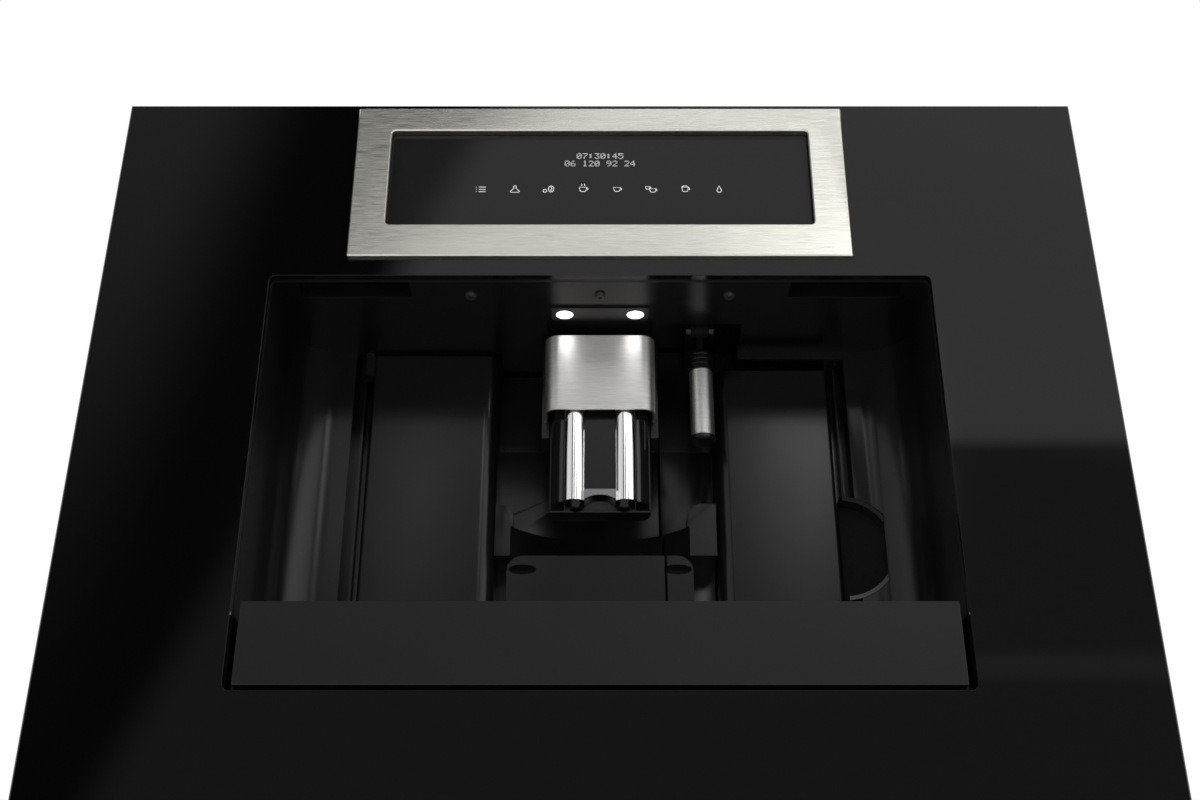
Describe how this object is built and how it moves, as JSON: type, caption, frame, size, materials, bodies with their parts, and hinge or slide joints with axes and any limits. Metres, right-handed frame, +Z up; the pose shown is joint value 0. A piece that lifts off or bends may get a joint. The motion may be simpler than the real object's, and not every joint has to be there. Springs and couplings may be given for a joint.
{
  "type": "built-in coffee machine",
  "caption": "Built-in coffee machine with a black glass front, a steel-framed display, an open cup niche with a sliding spout, and pull-out runners.",
  "frame": {"origin": "middle of the footprint, on the cabinet shelf that the floor frame rests on", "axes": "+X to the viewer's right along the front, +Y from the glass front to the back, +Z up"},
  "size_m": [0.595, 0.365, 0.457],
  "materials": {
    "sheet_steel": "galvanised sheet, matt",
    "runner_steel": "zinc plated",
    "carrier_steel": "matt black paint",
    "black_glass": "black back-painted glass, polished",
    "trim_steel": "long brushed grain",
    "display_glass": "smoked glass, polished",
    "circuit_board": "solder-masked board",
    "niche_plastic": "high gloss black",
    "lens_plastic": "clear, lit from behind",
    "screw_steel": "blackened",
    "chassis_plastic": "moulded, matt",
    "brew_plastic": "moulded, matt",
    "motor_metal": "painted steel",
    "clear_plastic": "smoky clear",
    "boiler_alloy": "cast",
    "rubber": "moulded",
    "cap_steel": "fine horizontal grain",
    "chrome": "mirror plated",
    "spout_black": "satin to gloss black",
    "tray_lacquer": "satin black",
    "tray_plastic": "moulded, matt",
    "float_plastic": "moulded, matt",
    "lid_plastic": "moulded, matt"
  },
  "bodies": {
    "cabinet_frame": {"base_frame": "sheet_steel", "outer_runner_left": "runner_steel", "outer_runner_right": "runner_steel"},
    "runner_middle": {"middle_runner_left": "runner_steel", "middle_runner_right": "runner_steel"},
    "service_door": {"door_panel": "niche_plastic", "door_cover": "chassis_plastic", "hinge_pins": "runner_steel", "door_latch": "chassis_plastic", "spout_cap": "cap_steel", "spout_guide": "spout_black"},
    "spout": {"spout_shell": "chrome", "spout_body": "spout_black", "spout_outlets": "spout_black", "spout_window": "spout_black"},
    "water_tank": {"tank_front": "niche_plastic", "tank_shell": "clear_plastic", "tank_lid": "lid_plastic", "tank_valve": "chassis_plastic"},
    "drip_tray": {"tray_front": "tray_lacquer", "tray_tub": "tray_plastic", "cup_grille": "trim_steel"},
    "float": {"tray_float": "float_plastic"},
    "hot_water_nozzle": {"nozzle_pipe": "carrier_steel", "nozzle_sleeve": "cap_steel", "nozzle_tip": "spout_black"},
    "bean_cover": {"bean_lid": "lid_plastic"},
    "preground_cover": {"preground_flap": "lid_plastic"},
    "grind_setting": {"grind_knob": "lid_plastic"},
    "rocker": {"power_switch": "lid_plastic"},
    "machine": {"inner_runner_left": "runner_steel", "inner_runner_right": "runner_steel", "base_pan": "sheet_steel", "side_panel_left": "sheet_steel", "side_panel_right": "sheet_steel", "back_panel": "sheet_steel", "top_cover": "sheet_steel", "cover_screws": "screw_steel", "front_frame": "carrier_steel", "front_glass": "black_glass", "display_trim": "trim_steel", "display_glass": "display_glass", "display_board": "circuit_board", "niche_liner": "niche_plastic", "lamp_lenses": "lens_plastic", "liner_screws": "screw_steel", "nozzle_panel": "niche_plastic", "finger_cup": "niche_plastic", "chassis_deck": "chassis_plastic", "brew_unit": "brew_plastic", "brew_motor": "motor_metal", "grinder": "brew_plastic", "bean_hopper": "clear_plastic", "preground_chute": "brew_plastic", "boiler": "boiler_alloy", "pump": "motor_metal", "pump_mounts": "rubber", "power_board": "circuit_board", "mains_inlet": "chassis_plastic", "grounds_container": "tray_plastic"}
  },
  "joints": [
    {"name": "machine_slide", "type": "slide", "parent": "cabinet_frame", "child": "machine", "axis": [0, -1, 0], "range_m": [0, 0.3]},
    {"name": "runner_slide", "type": "slide", "parent": "cabinet_frame", "child": "runner_middle", "axis": [0, -1, 0], "range_m": [0, 0.15]},
    {"name": "door_hinge", "type": "hinge", "parent": "machine", "child": "service_door", "pos_m": [-0.15, -0.0815, 0.232], "axis": [0, 0, -1], "range_deg": [0, 90]},
    {"name": "spout_slide", "type": "slide", "parent": "service_door", "child": "spout", "axis": [0, 0, 1], "range_m": [0, 0.044]},
    {"name": "tank_slide", "type": "slide", "parent": "machine", "child": "water_tank", "axis": [0, -1, 0], "range_m": [0, 0.345]},
    {"name": "tray_slide", "type": "slide", "parent": "machine", "child": "drip_tray", "axis": [0, -1, 0], "range_m": [0, 0.15]},
    {"name": "float_slide", "type": "slide", "parent": "drip_tray", "child": "float", "axis": [0, 0, 1], "range_m": [0, 0.005]},
    {"name": "nozzle_tilt", "type": "hinge", "parent": "machine", "child": "hot_water_nozzle", "pos_m": [0.0645, -0.0945, 0.341], "axis": [-1, 0, 0], "range_deg": [0, 25]},
    {"name": "bean_lid_hinge", "type": "hinge", "parent": "machine", "child": "bean_cover", "pos_m": [-0.023, 0.169, 0.4428], "axis": [-1, 0, 0], "range_deg": [0, 95]},
    {"name": "flap_hinge", "type": "hinge", "parent": "machine", "child": "preground_cover", "pos_m": [-0.023, 0.031, 0.4428], "axis": [-1, 0, 0], "range_deg": [0, 95]},
    {"name": "grind_turn", "type": "hinge", "parent": "machine", "child": "grind_setting", "pos_m": [0.15, 0.1205, 0.4403], "axis": [0, 0, 1], "range_deg": [-100, 100]},
    {"name": "rocker_tip", "type": "hinge", "parent": "machine", "child": "rocker", "pos_m": [-0.13, 0.1765, 0.072], "axis": [-1, 0, 0], "range_deg": [0, 14]}
  ],
  "couplings": [
    {"joint": "runner_slide", "follows": "machine_slide", "ratio": 0.5}
  ]
}
